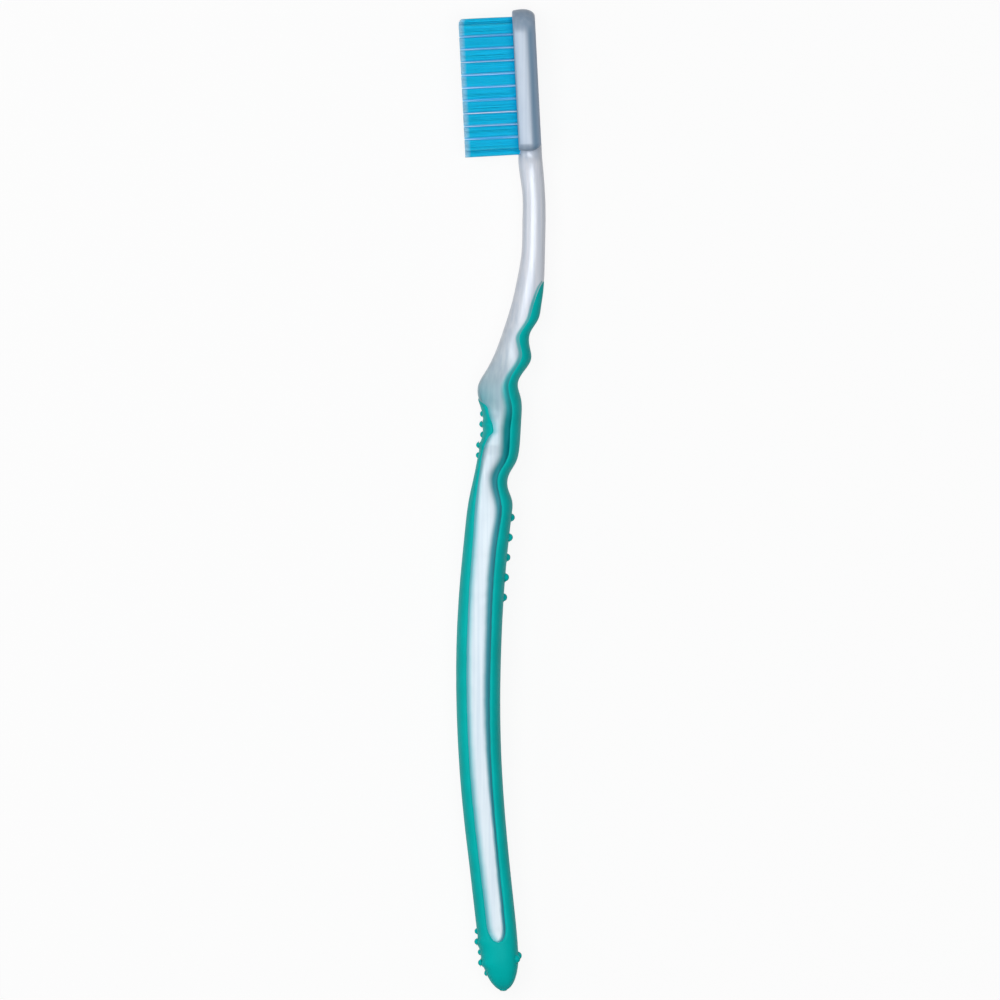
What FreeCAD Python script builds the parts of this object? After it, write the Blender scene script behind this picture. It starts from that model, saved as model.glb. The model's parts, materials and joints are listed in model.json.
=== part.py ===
import FreeCAD, Part
import math
import os

# Manual toothbrush lying on its side.
# While it is drawn, +Y runs from the foot of the handle to the tip of the head, +X points away from the
# bristles, and Z = 0 is the plane of symmetry. At the end the brush is set down on Z = 0.

# Lengths along the brush, from the foot to the tip
HANDLE_LENGTH = 95.0
KNUCKLE_LENGTH = 42.5
NECK_LENGTH = 25.0
HEAD_LENGTH = 27.5

# Handle: an arched oval bar that narrows to a rounded foot
HANDLE_THICKNESS = 8.82
HANDLE_WIDTH = 12.4
ARCH_RADIUS = 262.0
ARCH_LOW = 58.7
FOOT_STRAIGHT = 30.0
FOOT_TAPER = 66.0
FOOT_THICKNESS = 7.65
FOOT_WIDTH = 9.4
FOOT_ROUND = 8.7
FOOT_DEGREES = (8, 20, 34, 50, 68)
HANDLE_FULLNESS_SHARE = 0.86

# Neck: slim and oval, set back from the arch, leaning a little towards the bristles at the head
NECK_THICKNESS = 4.55
NECK_WIDTH = 5.4
NECK_SETBACK = 10.8
NECK_LEAN = 0.64
NECK_LEAN_SHARES = ((0.45, 0.0), (0.75, 0.25))
NECK_FULLNESS_SHARE = 0.76
NECK_SWELL = 0.15
NECK_FLARE = 1.5
NECK_FLARE_SHARES = ((-1, 0.35), (0, 0.75), (1, 1.0), (2, 1.0))

# Head: a flat pad with rounded edges, tilted towards the bristles
HEAD_THICKNESS = 4.4
HEAD_WIDTH = 11.6
HEAD_TILT_DEGREES = 2.9
HEAD_TIP_RADIUS = 4.8
HEAD_BASE_RADIUS = 1.5
HEAD_BACK_ROUND = 1.5
HEAD_FACE_EDGE = 0.35

# Knuckle: the outline between handle and neck, as (share of its length, share of the step to the neck)
FRONT_SHARES = (
    (0.09, 0.081), (0.18, 0.155), (0.25, 0.213), (0.30, 0.255), (0.345, 0.272), (0.39, 0.252),
    (0.43, 0.218), (0.465, 0.166), (0.499, 0.131), (0.535, 0.180), (0.59, 0.310), (0.66, 0.460),
    (0.74, 0.590), (0.82, 0.702), (0.91, 0.815), (1.00, 0.898),
)
BACK_SHARES = (
    (0.09, 0.080), (0.20, 0.155), (0.30, 0.215), (0.41, 0.258), (0.52, 0.375), (0.65, 0.565),
    (0.74, 0.702), (0.82, 0.785), (0.90, 0.880), (1.00, 0.955),
)
NECK_BEND_SHARES = ((0.14, 0.963), (0.29, 0.997))
WIDTH_SHARES = (
    (0.00, 1.00), (0.15, 1.00), (0.30, 0.99), (0.42, 0.95), (0.50, 0.87), (0.60, 0.68), (0.70, 0.46),
    (0.80, 0.27), (0.90, 0.13), (1.00, 0.05),
)

# Finger grooves across the back: place along the knuckle, then depth and half length
GROOVE_PLACE_SHARES = (0.088, 0.535, 0.742)
GROOVE_DEPTHS = (1.75, 1.60, 1.45)
GROOVE_HALF_LENGTHS = (5.2, 4.7, 4.1)

# Soft grip: two strips that wrap the front and the back and join round the foot
GRIP_WALL = 1.4
STRIP_WIDTH = 2.0
BACK_TIP_LENGTH = 7.8
WINDOW_RECESS = 0.3
WINDOW_END = 11.3
TIP_DEGREES = (0, 22, 45, 68, 90)
FOOT_WALL = 2.6

# Thumb pad: the front strip's upper end, as (share of the knuckle, share of the strip's width)
PAD_TIP_SHARE = 0.4535
PAD_UPPER_SHARES = ((0.444, 0.25), (0.433, 0.43), (0.383, 0.61), (0.337, 0.85))
PAD_CORNER_SHARES = (0.307, 0.98)
PAD_LOWER_SHARES = (
    (0.285, 0.60), (0.26, 0.44), (0.22, 0.34), (0.16, 0.35), (0.07, 0.49), (-0.03, 0.67), (-0.14, 0.81),
    (-0.27, 0.90), (-0.45, 0.95),
)

# Grip dots: radius, how deep the ball's centre sits in the grip, and the rows
DOT_RADIUS = 0.78
DOT_SINK = 0.1
SMALL_DOT_RADIUS = 0.64
SMALL_DOT_SINK = 0.18
BACK_DOTS_DROP = 3.45
BACK_DOT_PITCH = 3.87
THUMB_DOT_SHARES = (0.202, 0.249, 0.296, 0.344, 0.391)
FOOT_DOTS_START = 3.3
FOOT_DOT_PITCH = 2.03
HEEL_DOTS_PLACE = 6.65
HEEL_DOTS_DROP = 0.6
DOT_ROWS = 5
BACK_DOT_OFFSET = 1.7
SMALL_DOT_OFFSET = 1.05
HEEL_DOT_OFFSET = 2.4
DOT_RING_DEGREES = (-15, 35, 68)

# Tufts: bundles of filaments folded round a flat anchor at the bottom of a blind hole
TUFT_PITCH = 2.48
COLUMN_PITCH = 2.45
TIP_MARGIN = 2.25
BASE_MARGIN = 0.4
HOLE_DIAMETER = 1.7
HEAD_FLOOR = 1.45
TUFT_CLEARANCE = 0.03
TUFT_LENGTH = 10.45
TUFT_TIP_DIAMETER = 2.06
ANCHOR_HEIGHT = 1.2
ANCHOR_THICKNESS = 0.25
ANCHOR_BITE = 0.2
ANCHOR_LIFT = 0.45
COLUMN_PLACE_SHARES = {"a": -1.5, "b": -0.5, "c": 0.5, "d": 1.5}
OUTER_COLUMNS = ("a", "d")

# Every cut runs past its target by this much
OVERRUN = 4.0

# How many points carry each curve, and how many sections carry each stretch of skin
LINE_POINTS = 6
EDGE_POINTS = 13
WINDOW_POINTS = 5
HANDLE_SECTIONS = 8
KNUCKLE_SECTIONS = 20
NECK_SECTIONS = 5
BISECTIONS = 50
RING_POLES = 8
CUBIC = 3
SKIN_SIDES = 16
SPINE_SIDES = 8
TUFT_SIDES = 6
DOT_SIDES = 8

KNUCKLE_Y = HANDLE_LENGTH
NECK_Y = KNUCKLE_Y + KNUCKLE_LENGTH
HEAD_Y = NECK_Y + NECK_LENGTH
HOLE_DEPTH = HEAD_THICKNESS - HEAD_FLOOR
HEAD_TILT = math.radians(HEAD_TILT_DEGREES)
RING_KNOTS = list(range(RING_POLES + 1))
RING_MULTIPLICITIES = [1] * len(RING_KNOTS)
NECK_FRONT_X = NECK_SETBACK - NECK_THICKNESS / 2
NECK_BACK_X = NECK_SETBACK + NECK_THICKNESS / 2
FACE_X = NECK_FRONT_X - NECK_LEAN
NECK_ROOT = 2 * NECK_FLARE
GROOVES_Y = KNUCKLE_Y - GROOVE_HALF_LENGTHS[0]

Vector = FreeCAD.Vector


def blend(start, end, share):
    """Value that lies the given share of the way from start to end."""
    return start + (end - start) * share


def spread(start, end, count):
    """Evenly spaced values from start to end."""
    return [blend(start, end, index / (count - 1)) for index in range(count)]


def arch_centre(y):
    """Centre line of the handle: a shallow arch that runs out straight to the foot."""
    curved_y = max(y, FOOT_STRAIGHT)
    bend = curved_y - ARCH_LOW
    return bend ** 2 / (2 * ARCH_RADIUS) + (y - curved_y) * bend / ARCH_RADIUS


def foot_factor(y):
    """Share of its full section that the rounded foot has at y."""
    reach = max(FOOT_ROUND - y, 0) / FOOT_ROUND
    return math.sqrt(1 - reach ** 2)


def foot_height(degrees):
    """Height of the foot's section at an angle round its end."""
    return FOOT_ROUND * (1 - math.cos(math.radians(degrees)))


def tapered(y, full, foot):
    """A handle size that narrows from full to foot and then rounds off."""
    share = min(max((y - FOOT_ROUND) / (FOOT_TAPER - FOOT_ROUND), 0), 1)
    return blend(foot, full, share) * foot_factor(y)


def curve_through(points):
    """Smooth curve through (x, y) points."""
    curve = Part.BSplineCurve()
    curve.interpolate([Vector(x, y, 0) for x, y in points])
    return curve


def x_on(curve, y):
    """X of a curve that climbs steadily, at height y."""
    low = curve.FirstParameter
    high = curve.LastParameter
    for _ in range(BISECTIONS):
        middle = (low + high) / 2
        if curve.value(middle).y < y:
            low = middle
        else:
            high = middle
    return curve.value(low).x


def knuckle_y(share):
    """Height of a share of the knuckle's length."""
    return KNUCKLE_Y + share * KNUCKLE_LENGTH


def side_line(side, shares, neck_x, face_x):
    """Outline of the neck and knuckle seen from the side; side is -1 for the front and +1 for the back."""
    points = []
    for y in spread(FOOT_TAPER, KNUCKLE_Y, LINE_POINTS):
        points.append((arch_centre(y) + side * HANDLE_THICKNESS / 2, y))
    start_x = points[-1][0]
    for along, across in shares:
        points.append((blend(start_x, neck_x, across), knuckle_y(along)))
    for along, across in NECK_BEND_SHARES:
        points.append((blend(start_x, neck_x, across), NECK_Y + along * NECK_LENGTH))
    for along, across in NECK_LEAN_SHARES:
        points.append((blend(neck_x, face_x, across), NECK_Y + along * NECK_LENGTH))
    points.append((face_x + side * NECK_SWELL, HEAD_Y - NECK_FLARE))
    points.append((face_x - side * NECK_SWELL, HEAD_Y + NECK_FLARE))
    points.append((face_x - side * NECK_SWELL * 2 - NECK_ROOT * math.sin(HEAD_TILT), HEAD_Y + NECK_ROOT))
    return curve_through(points)


FRONT_LINE = side_line(-1, FRONT_SHARES, NECK_FRONT_X, FACE_X)
BACK_LINE = side_line(1, BACK_SHARES, NECK_BACK_X, FACE_X + HEAD_THICKNESS)


def groove_depth(y):
    """How far the finger grooves sink the back line at y."""
    depth = 0
    for share, deepest, half_length in zip(GROOVE_PLACE_SHARES, GROOVE_DEPTHS, GROOVE_HALF_LENGTHS):
        reach = abs(y - knuckle_y(share)) / half_length
        if reach < 1:
            depth += deepest * math.cos(reach * math.pi / 2) ** 2
    return depth


def front_x(y):
    """Front of the brush at y, on its middle plane."""
    if y < FOOT_TAPER:
        return arch_centre(y) - tapered(y, HANDLE_THICKNESS, FOOT_THICKNESS) / 2
    return x_on(FRONT_LINE, y)


def back_x(y):
    """Back of the brush at y, on its middle plane."""
    if y < FOOT_TAPER:
        return arch_centre(y) + tapered(y, HANDLE_THICKNESS, FOOT_THICKNESS) / 2
    return x_on(BACK_LINE, y) - groove_depth(y)


def width_line():
    """Half width of the knuckle and neck over their length."""
    points = [(HANDLE_WIDTH / 2, y) for y in spread(FOOT_TAPER, KNUCKLE_Y, LINE_POINTS)[:-1]]
    for along, across in WIDTH_SHARES:
        points.append((blend(NECK_WIDTH, HANDLE_WIDTH, across) / 2, knuckle_y(along)))
    for y in spread(NECK_Y, HEAD_Y, LINE_POINTS)[1:-1]:
        points.append((NECK_WIDTH / 2, y))
    for along, across in NECK_FLARE_SHARES:
        points.append((NECK_WIDTH / 2 + across * NECK_FLARE, HEAD_Y + along * NECK_FLARE))
    return curve_through(points)


WIDTH_LINE = width_line()


def half_width(y):
    """Half the width of the brush at y."""
    if y < FOOT_TAPER:
        return tapered(y, HANDLE_WIDTH, FOOT_WIDTH) / 2
    return x_on(WIDTH_LINE, y)


def fullness(y):
    """How square the oval section is: fuller on the handle than on the neck."""
    share = min(max((y - KNUCKLE_Y) / KNUCKLE_LENGTH, 0), 1)
    return blend(HANDLE_FULLNESS_SHARE, NECK_FULLNESS_SHARE, share)


def flat_face(corners):
    """Flat face round the given corners."""
    return Part.Face(Part.makePolygon(corners + corners[:1]))


def solid_of(faces):
    """Solid inside a closed set of faces."""
    shell = Part.Shell(faces)
    shell.sewShape()
    return Part.Solid(shell)


def regular_ring(centre, radius, first, second, sides):
    """Corners of a regular polygon in the plane of two unit vectors, with a flat side across the first."""
    corners = []
    for side in range(sides):
        angle = 2 * math.pi * (side + 0.5) / sides
        corners.append(centre + (first * math.cos(angle) + second * math.sin(angle)) * radius)
    return corners


def flat_sided(rings):
    """Solid through rings of corners, with flat faces between them."""
    faces = [flat_face(rings[0]), flat_face(rings[-1])]
    for ring, after in zip(rings, rings[1:]):
        for index in range(len(ring)):
            faces.append(flat_face([ring[index - 1], ring[index], after[index], after[index - 1]]))
    return solid_of(faces)


def section_poles(y, inset):
    """Control points of the oval across the brush at y, drawn in by inset all round."""
    centre = (front_x(y) + back_x(y)) / 2
    corner = fullness(y)
    # A uniform cubic ring passes each middle pole at (4 + 2 * corner) / 6 of the pole's distance.
    pole_factor = 6 / (4 + 2 * corner)
    reach_x = ((back_x(y) - front_x(y)) / 2 - inset) * pole_factor
    reach_z = (half_width(y) - inset) * pole_factor
    quarter = ((1, 0), (corner, corner), (0, 1), (-corner, corner))
    ring = quarter + tuple((-along, -across) for along, across in quarter)
    return [Vector(centre + along * reach_x, y, across * reach_z) for along, across in ring]


def section(y, inset):
    """Closed oval outline across the brush at y, drawn in by inset all round."""
    outline = Part.BSplineCurve()
    outline.buildFromPolesMultsKnots(section_poles(y, inset), RING_MULTIPLICITIES, RING_KNOTS, True, CUBIC)
    return outline


def stations(start, end):
    """Heights of the sections: close together on the foot, the grooves and the head's root."""
    heights = [foot_height(angle) for angle in FOOT_DEGREES]
    heights += spread(FOOT_ROUND, GROOVES_Y, HANDLE_SECTIONS)
    heights += spread(GROOVES_Y, NECK_Y, KNUCKLE_SECTIONS)[1:]
    heights += spread(NECK_Y, HEAD_Y - NECK_ROOT, NECK_SECTIONS)[1:]
    heights += spread(HEAD_Y - NECK_ROOT, HEAD_Y + NECK_ROOT, NECK_SECTIONS)[1:]
    inside = [y for y in heights if start < y < end]
    return [start] + inside + [end]


def oval_bar(heights, inset_at, sides):
    """Solid through the oval sections at the given heights: smooth along the brush, flat-sided across it."""
    rings = []
    for y in heights:
        outline = section(y, inset_at(y))
        rings.append([outline.value(RING_POLES * side / sides) for side in range(sides)])
    travel = [0]
    for ring, after in zip(rings, rings[1:]):
        travel.append(travel[-1] + (after[0] - ring[0]).Length)
    edges = []
    for corners in zip(*rings):
        track = Part.BSplineCurve()
        track.interpolate(Points=corners, Parameters=travel)
        edges.append(track.toShape())
    faces = [Part.makeRuledSurface(edge, after) for edge, after in zip(edges, edges[1:] + edges[:1])]
    faces += [flat_face(rings[0]), flat_face(rings[-1])]
    return solid_of(faces)


def recess(y):
    """How far the bare core lies below the grip's surface: flush at the neck, lower along the handle."""
    share = min(max((NECK_Y - y) / KNUCKLE_LENGTH, 0), 1)
    return WINDOW_RECESS * share


def head_outline():
    """Plan of the head: a broad rounded tip and small corners at the neck."""
    half = HEAD_WIDTH / 2
    tip = HEAD_TIP_RADIUS
    base = HEAD_BASE_RADIUS
    bend = math.sin(math.pi / 4)
    tip_along = HEAD_LENGTH - tip
    tip_across = half - tip
    base_across = half - base

    def corner(along, across, radius, ahead, side):
        start = Vector(along, across + side * radius, 0)
        middle = Vector(along + ahead * radius * bend, across + side * radius * bend, 0)
        end = Vector(along + ahead * radius, across, 0)
        return Part.Arc(start, middle, end).toShape()

    edges = [
        corner(tip_along, tip_across, tip, 1, 1),
        corner(tip_along, -tip_across, tip, 1, -1),
        corner(base, base_across, base, -1, 1),
        corner(base, -base_across, base, -1, -1),
        Part.makeLine(Vector(base, half, 0), Vector(tip_along, half, 0)),
        Part.makeLine(Vector(base, -half, 0), Vector(tip_along, -half, 0)),
        Part.makeLine(Vector(HEAD_LENGTH, -tip_across, 0), Vector(HEAD_LENGTH, tip_across, 0)),
        Part.makeLine(Vector(0, -base_across, 0), Vector(0, base_across, 0)),
    ]
    return Part.Wire(Part.__sortEdges__(edges))


def head_placement():
    """From the head's own frame (along, across, depth below the face) to the brush."""
    along = Vector(-math.sin(HEAD_TILT), math.cos(HEAD_TILT), 0)
    across = Vector(0, 0, 1)
    depth = Vector(math.cos(HEAD_TILT), math.sin(HEAD_TILT), 0)
    return FreeCAD.Placement(Vector(FACE_X, HEAD_Y, 0), FreeCAD.Rotation(along, across, depth, "XYZ"))


def in_head(shape):
    """Moves a shape drawn in the head's own frame to its place on the brush."""
    shape.Placement = head_placement().multiply(shape.Placement)
    return shape


def head_pad():
    """Head with its back edge well rounded and its face edge only broken."""
    pad = Part.Face(head_outline()).extrude(Vector(0, 0, HEAD_THICKNESS))
    back_edges = [edge for edge in pad.Edges if edge.BoundBox.ZMin > HEAD_THICKNESS / 2]
    pad = pad.makeFillet(HEAD_BACK_ROUND, back_edges)
    face_edges = [edge for edge in pad.Edges if edge.BoundBox.ZMax < HEAD_FACE_EDGE]
    pad = pad.makeChamfer(HEAD_FACE_EDGE, face_edges)
    return in_head(pad)


def tuft_places():
    """Names of the tufts with their places on the head, counted from the tip in each column."""
    room = HEAD_LENGTH - TIP_MARGIN - BASE_MARGIN
    places = {}
    for column, share in COLUMN_PLACE_SHARES.items():
        shift = TUFT_PITCH / 2 if column in OUTER_COLUMNS else 0
        count = math.floor((room - 2 * shift) / TUFT_PITCH) + 1
        for row in range(count):
            along = HEAD_LENGTH - TIP_MARGIN - shift - row * TUFT_PITCH
            places[f"tuft_{column}{row + 1:02d}"] = Vector(along, share * COLUMN_PITCH, 0)
    return places


def anchor(place):
    """Flat anchor across a hole, its ends in the hole's walls."""
    length = HOLE_DIAMETER + 2 * ANCHOR_BITE
    plate = Part.makeBox(length, ANCHOR_THICKNESS, ANCHOR_HEIGHT)
    floor = HOLE_DEPTH - ANCHOR_LIFT - ANCHOR_HEIGHT
    plate.translate(place + Vector(-length / 2, -ANCHOR_THICKNESS / 2, floor))
    return plate


def tuft_ring(place, diameter, depth):
    """Outline of a tuft or of its hole, flat-sided as packed filaments are, at a depth below the face."""
    level = place + Vector(0, 0, depth)
    return regular_ring(level, diameter / 2, Vector(1, 0, 0), Vector(0, 1, 0), TUFT_SIDES)


def tuft(place):
    """Bundle that fills its hole and spreads a little towards the tips, with the anchor in its fold."""
    root_diameter = HOLE_DIAMETER - 2 * TUFT_CLEARANCE
    rings = [
        tuft_ring(place, root_diameter, HOLE_DEPTH),
        tuft_ring(place, root_diameter, 0),
        tuft_ring(place, TUFT_TIP_DIAMETER, -TUFT_LENGTH),
    ]
    return flat_sided(rings).cut(anchor(place))


def tuft_hole(place):
    """Blind hole with the slot that an anchor presses into its walls."""
    rings = [tuft_ring(place, HOLE_DIAMETER, depth) for depth in (HOLE_DEPTH, -OVERRUN)]
    return flat_sided(rings).fuse(anchor(place))


def back_edge():
    """Inner edge of the back strip seen from the side: a quarter oval at its tip, then a steady width."""
    points = []
    for degrees in TIP_DEGREES:
        angle = math.radians(degrees)
        y = NECK_Y - BACK_TIP_LENGTH * (1 - math.cos(angle))
        points.append((back_x(y) - STRIP_WIDTH * math.sin(angle), y))
    heights = spread(NECK_Y - BACK_TIP_LENGTH, GROOVES_Y, EDGE_POINTS)[1:]
    heights += spread(GROOVES_Y, WINDOW_END, WINDOW_POINTS)[1:]
    points += [(back_x(y) - STRIP_WIDTH, y) for y in heights]
    return points


def pad_edge(shares):
    """Part of the front strip's inner edge, at shares of the strip's width from the front line."""
    return [(front_x(knuckle_y(along)) + STRIP_WIDTH * across, knuckle_y(along)) for along, across in shares]


def grip_region():
    """Everything that is grip when seen from the side, as a slab through the whole width."""
    back = back_edge()
    pad_y = knuckle_y(PAD_TIP_SHARE)
    upper = [(front_x(pad_y), pad_y)] + pad_edge(PAD_UPPER_SHARES + (PAD_CORNER_SHARES,))
    lower = pad_edge((PAD_CORNER_SHARES,) + PAD_LOWER_SHARES)
    lower += [(front_x(y) + STRIP_WIDTH, y) for y in spread(ARCH_LOW, WINDOW_END, WINDOW_POINTS)]
    window_back = Vector(*back[-1], 0)
    window_front = Vector(*lower[-1], 0)
    half_window = (window_back - window_front) / 2
    window_foot = window_front + half_window - Vector(0, half_window.Length, 0)
    far_front = front_x(ARCH_LOW) - OVERRUN
    far_back = NECK_BACK_X + OVERRUN
    rim = [Vector(*back[0], 0)]
    rim += [Vector(far_back, NECK_Y, 0), Vector(far_back, -OVERRUN, 0)]
    rim += [Vector(far_front, -OVERRUN, 0), Vector(far_front, pad_y, 0), Vector(*upper[0], 0)]
    edges = [curve_through(points).toShape() for points in (back, lower, upper)]
    edges.append(Part.Arc(window_back, window_foot, window_front).toShape())
    edges += [Part.makeLine(start, end) for start, end in zip(rim, rim[1:])]
    slab = Part.Face(Part.Wire(Part.__sortEdges__(edges)))
    slab.translate(Vector(0, 0, -HANDLE_WIDTH))
    return slab.extrude(Vector(0, 0, 2 * HANDLE_WIDTH))


def dot(y, side, offset, radius, sink):
    """Dome sunk into the front (side -1) or back (side +1) of the grip, offset from its middle line."""
    outline = section(y, 0)
    middle = Vector((front_x(y) + back_x(y)) / 2, y, offset)
    ray = Part.LineSegment(middle, middle + Vector(side * HANDLE_THICKNESS, 0, 0))
    hit = outline.intersectCC(ray)[0].toShape().Point
    along = Vector(0, 1, 0)
    outward = outline.tangent(outline.parameter(hit))[0].cross(along)
    outward *= math.copysign(1, outward.x * side)
    across = outward.cross(along)
    rings = []
    for degrees in DOT_RING_DEGREES:
        angle = math.radians(degrees)
        level = hit + outward * (radius * math.sin(angle) - sink)
        rings.append(regular_ring(level, radius * math.cos(angle), along, across, DOT_SIDES))
    return flat_sided(rings)


def dot_rows(heights, side, pair_offset, radius, sink):
    """Rows of one and two dots by turns."""
    dots = []
    for row, y in enumerate(heights):
        offsets = (0,) if row % 2 == 0 else (-pair_offset, pair_offset)
        dots += [dot(y, side, offset, radius, sink) for offset in offsets]
    return dots


def grip_dots():
    """All dots: behind the middle finger, on the thumb pad, and round the foot."""
    back_heights = [KNUCKLE_Y - BACK_DOTS_DROP - row * BACK_DOT_PITCH for row in range(DOT_ROWS)]
    thumb_heights = [knuckle_y(share) for share in THUMB_DOT_SHARES]
    foot_heights = [FOOT_DOTS_START + row * FOOT_DOT_PITCH for row in range(DOT_ROWS)]
    heel_heights = [HEEL_DOTS_PLACE, HEEL_DOTS_PLACE - HEEL_DOTS_DROP]
    dots = dot_rows(back_heights, 1, BACK_DOT_OFFSET, DOT_RADIUS, DOT_SINK)
    dots += dot_rows(thumb_heights, -1, SMALL_DOT_OFFSET, SMALL_DOT_RADIUS, SMALL_DOT_SINK)
    dots += dot_rows(foot_heights, -1, SMALL_DOT_OFFSET, SMALL_DOT_RADIUS, SMALL_DOT_SINK)
    dots += dot_rows(heel_heights, 1, HEEL_DOT_OFFSET, SMALL_DOT_RADIUS, SMALL_DOT_SINK)
    return dots


def grip_pocket():
    """Room for the grip: the grip's region less the spine that runs inside it, under the groove bottoms."""
    heights = [FOOT_WALL, foot_height(FOOT_DEGREES[-1])]
    heights += spread(FOOT_ROUND, FOOT_TAPER, LINE_POINTS)
    places = sorted(GROOVE_PLACE_SHARES + (PAD_CORNER_SHARES[0], PAD_TIP_SHARE))
    heights += [knuckle_y(share) for share in places]
    heights += [NECK_Y - BACK_TIP_LENGTH, NECK_Y, NECK_Y + OVERRUN]
    return grip_region().cut(oval_bar(heights, lambda y: GRIP_WALL, SPINE_SIDES))


def handle_core(pocket, places):
    """Head, neck and handle in one moulding, with the grip's pocket and the tuft holes."""
    bar = oval_bar(stations(FOOT_WALL / 2, HEAD_Y + NECK_ROOT), recess, SKIN_SIDES)
    core = bar.fuse(head_pad()).cut(pocket)
    holes = [in_head(tuft_hole(place)) for place in places.values()]
    return core.cut(Part.makeCompound(holes))


def soft_grip(pocket):
    """Overmoulded skin with its dots."""
    heights = stations(foot_height(FOOT_DEGREES[0]), NECK_Y + OVERRUN)
    skin = oval_bar(heights, lambda y: 0, SKIN_SIDES).common(pocket)
    return skin.multiFuse(grip_dots())


def build():
    """All pieces by name, set down with the middle of the brush's underside at the origin."""
    places = tuft_places()
    pocket = grip_pocket()
    pieces = {"handle_core": handle_core(pocket, places), "soft_grip": soft_grip(pocket)}
    for name, place in places.items():
        pieces[name] = in_head(tuft(place))
    anchors = [in_head(anchor(place)) for place in places.values()]
    pieces["tuft_anchors"] = Part.makeCompound(anchors)
    box = Part.makeCompound(list(pieces.values())).optimalBoundingBox()
    for piece in pieces.values():
        piece.translate(Vector(-box.Center.x, -box.Center.y, -box.ZMin))
    return pieces


os.makedirs("parts", exist_ok=True)
for piece_name, piece_shape in build().items():
    piece_shape.exportStep(f"parts/{piece_name}.step")
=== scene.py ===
import copy
import json
import math
import random

import bpy
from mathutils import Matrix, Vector
from mathutils.bvhtree import BVHTree


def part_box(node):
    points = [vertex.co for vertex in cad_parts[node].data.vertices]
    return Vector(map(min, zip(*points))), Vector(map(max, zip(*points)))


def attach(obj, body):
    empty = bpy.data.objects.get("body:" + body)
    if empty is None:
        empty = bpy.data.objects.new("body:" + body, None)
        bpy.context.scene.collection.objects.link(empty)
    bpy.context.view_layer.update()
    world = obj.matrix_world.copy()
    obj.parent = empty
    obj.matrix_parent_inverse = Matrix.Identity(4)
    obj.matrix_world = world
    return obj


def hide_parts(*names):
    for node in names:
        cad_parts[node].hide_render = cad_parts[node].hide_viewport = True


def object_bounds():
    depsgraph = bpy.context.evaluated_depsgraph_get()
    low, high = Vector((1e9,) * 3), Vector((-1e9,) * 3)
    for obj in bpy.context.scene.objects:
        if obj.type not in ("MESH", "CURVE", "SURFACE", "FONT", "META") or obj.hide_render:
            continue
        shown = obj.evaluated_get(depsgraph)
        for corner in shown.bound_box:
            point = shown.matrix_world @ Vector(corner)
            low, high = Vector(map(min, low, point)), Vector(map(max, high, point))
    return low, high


# A manual toothbrush that lies on its side, seen from straight above.
# Sizes are in millimetres and become metres where a mesh, a lamp or the camera is made. The outlines of the
# handle, the neck and the grip are measured on the CAD solids, so the smooth skins lie where the solids are.
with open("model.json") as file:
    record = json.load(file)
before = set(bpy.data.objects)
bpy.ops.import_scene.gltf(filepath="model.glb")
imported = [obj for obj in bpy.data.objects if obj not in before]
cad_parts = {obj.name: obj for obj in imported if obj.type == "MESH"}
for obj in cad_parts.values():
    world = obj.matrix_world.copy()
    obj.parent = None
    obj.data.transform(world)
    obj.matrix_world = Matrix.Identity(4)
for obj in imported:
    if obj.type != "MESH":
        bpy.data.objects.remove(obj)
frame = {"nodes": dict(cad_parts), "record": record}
cad_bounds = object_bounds()

METRES_PER_MM = 0.001
BODY = "root"
TUFT_PREFIX = "tuft_"
ANCHORS = "tuft_anchors"

# Turns round the unit oval of a section, and the oval's two axes
BACK_TURN = 0
TOP_TURN = 2
FRONT_TURN = 4
UNDERSIDE_TURN = 6
FULL_TURN = 8
AXIS_ACROSS = 0
AXIS_UP = 1

# Measuring: where rays start, steps along the brush, the ray's offset that misses the dots, and how much the
# result is smoothed
RAY_START = 60.0
STATION_STEP = 0.25
RAY_OFFSET = 1.1
RAY_OFFSET_SHARE = 0.35
EDGE_STEP = 0.06
BISECTIONS = 30
SMOOTHING = 0.3
NORMAL_STEP = 0.01

# Handle and neck
KNUCKLE_LENGTH = 42.5
HANDLE_FULLNESS_SHARE = 0.86
NECK_FULLNESS_SHARE = 0.76
WINDOW_RECESS = 0.3
WINDOW_END = 9.3
WINDOW_END_LENGTH = 3.4
WINDOW_END_SHARE = 0.42
FOOT_ROUND = 8.7
FOOT_RINGS = 16
FOOT_FIRST_DEGREES = 9
FOOT_DOME = 0.3
FOOT_DOME_RINGS = 6
NECK_ROOT = 2.0
NECK_ROOT_GAP = 0.5
CORE_COLUMNS = 96
FACE_FLAT_SHARE = 0.7
FACE_FRONT_TURN = 3.75
FACE_SMOOTHING = 3.0
FACE_START_SHARE = 0.25
FACE_FULL_SHARE = 0.55

# Grip: strips with rolled edges that dip under the core's surface
STRIP_COLUMNS = 14
HIDDEN_COLUMNS = 4
LIP_LENGTH = 0.6
LIP_COVER = 0.16
HIDDEN_DEPTH = 1.8
TIP_OVERRUN = 1.0

# Grip dots: sizes, how deep they sit, sideways spread and heights above the foot
BACK_DOT_RADIUS = 0.78
BACK_DOT_SINK = 0.1
SMALL_DOT_RADIUS = 0.64
SMALL_DOT_SINK = 0.18
HEEL_DOT_RADIUS = 0.8
HEEL_DOT_SINK = 0.15
DOT_FILLET = 0.22
DOT_FOOT_DEPTH = 0.055
BACK_DOT_OFFSET = 1.7
SMALL_DOT_OFFSET = 1.05
HEEL_DOT_OFFSET = 2.4
DOT_SEGMENTS = 24
DOT_RING_DEGREES = (12, 24, 36, 48, 60, 72, 82)
BACK_DOT_HEIGHTS = (91.55, 87.68, 83.81, 79.94, 76.07)
THUMB_DOT_HEIGHTS = (103.59, 105.58, 107.58, 109.62, 111.62)
FOOT_DOT_HEIGHTS = (3.3, 5.33, 7.36, 9.39, 11.42)
HEEL_DOT_HEIGHTS = (6.65, 6.05)

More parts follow.
